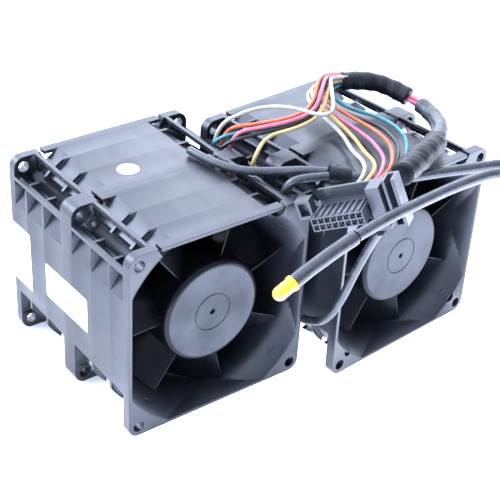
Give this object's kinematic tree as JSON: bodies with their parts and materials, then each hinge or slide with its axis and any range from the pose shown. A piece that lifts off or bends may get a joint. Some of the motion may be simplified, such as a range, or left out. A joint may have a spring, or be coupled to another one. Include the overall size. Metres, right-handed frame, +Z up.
{
  "type": "server fan module",
  "caption": "Pair of square counter-rotating axial fan units with ribbed frames, swept-blade rotors, a shared wire harness, multi-way plug and indicator light.",
  "frame": {"origin": "bottom centre of the two fan units' common box, on the surface they stand on", "axes": "+X from the left unit to the right unit, +Y from the inlets to the outlets, +Z up"},
  "size_m": [0.17, 0.1404, 0.0997],
  "materials": {
    "bearing_steel": "polished bearing steel",
    "board": "green circuit board",
    "cable_black": "flexible sleeving",
    "copper": "enamelled copper",
    "cup_steel": "pressed steel",
    "housing_plastic": "satin moulded black glass-filled plastic",
    "lamination": "stacked electrical steel",
    "led_yellow": "tinted epoxy",
    "magnet": "bonded ferrite",
    "plug_plastic": "black nylon",
    "rivet_metal": "plated",
    "rotor_plastic": "matt dark grey moulded plastic",
    "shaft_steel": "ground steel",
    "wire_black": "insulation",
    "wire_orange": "insulation",
    "wire_pink": "insulation",
    "wire_teal": "insulation",
    "wire_white": "insulation",
    "wire_yellow": "insulation"
  },
  "bodies": {
    "fan_pair_frame": {"left_front_housing": "housing_plastic", "left_rear_housing": "housing_plastic", "left_bearings": "bearing_steel", "left_stator_cores": "lamination", "left_windings": "copper", "left_circuit_boards": "board", "left_rivets": "rivet_metal", "right_front_housing": "housing_plastic", "right_rear_housing": "housing_plastic", "right_bearings": "bearing_steel", "right_stator_cores": "lamination", "right_windings": "copper", "right_circuit_boards": "board", "right_rivets": "rivet_metal", "plug_housing": "plug_plastic", "plug_frame": "plug_plastic", "wire_white_fan": "wire_white", "wire_orange_fan": "wire_orange", "wire_teal_fan": "wire_teal", "wire_pink_fan": "wire_pink", "wire_black_fan": "wire_black", "wire_yellow_fan": "wire_yellow", "wire_white_plug": "wire_white", "wire_yellow_plug": "wire_yellow", "wire_pink_plug": "wire_pink", "wire_orange_plug": "wire_orange", "wire_black_plug": "wire_black", "wire_teal_plug": "wire_teal", "loom_sleeve": "cable_black", "upper_bare_wires": "cable_black", "taped_sleeve": "cable_black", "lower_bare_wires": "cable_black", "boot_sleeve": "cable_black", "left_jacketed_cable": "cable_black", "front_jacketed_cable": "cable_black", "led_lead": "cable_black", "led_shrink_sleeve": "cable_black", "gap_lead": "cable_black", "cable_joint": "cable_black", "yellow_led": "led_yellow"},
    "left_front_rotor": {"left_front_impeller": "rotor_plastic", "left_front_rotor_cup": "cup_steel", "left_front_magnet_ring": "magnet", "left_front_shaft": "shaft_steel"},
    "left_rear_rotor": {"left_rear_impeller": "rotor_plastic", "left_rear_rotor_cup": "cup_steel", "left_rear_magnet_ring": "magnet", "left_rear_shaft": "shaft_steel"},
    "right_front_rotor": {"right_front_impeller": "rotor_plastic", "right_front_rotor_cup": "cup_steel", "right_front_magnet_ring": "magnet", "right_front_shaft": "shaft_steel"},
    "right_rear_rotor": {"right_rear_impeller": "rotor_plastic", "right_rear_rotor_cup": "cup_steel", "right_rear_magnet_ring": "magnet", "right_rear_shaft": "shaft_steel"}
  },
  "joints": [
    {"name": "left_front_fan_spin", "type": "hinge", "parent": "fan_pair_frame", "child": "left_front_rotor", "pos_m": [-0.04362, -0.015, 0.04], "axis": [0, 1, 0], "continuous": true},
    {"name": "left_rear_fan_spin", "type": "hinge", "parent": "fan_pair_frame", "child": "left_rear_rotor", "pos_m": [-0.04362, 0.028, 0.04], "axis": [0, 1, 0], "continuous": true},
    {"name": "right_front_fan_spin", "type": "hinge", "parent": "fan_pair_frame", "child": "right_front_rotor", "pos_m": [0.04199, -0.0248, 0.04], "axis": [-0.0819, 0.9966, 0], "continuous": true},
    {"name": "right_rear_fan_spin", "type": "hinge", "parent": "fan_pair_frame", "child": "right_rear_rotor", "pos_m": [0.03846, 0.01806, 0.04], "axis": [-0.0819, 0.9966, 0], "continuous": true}
  ]
}
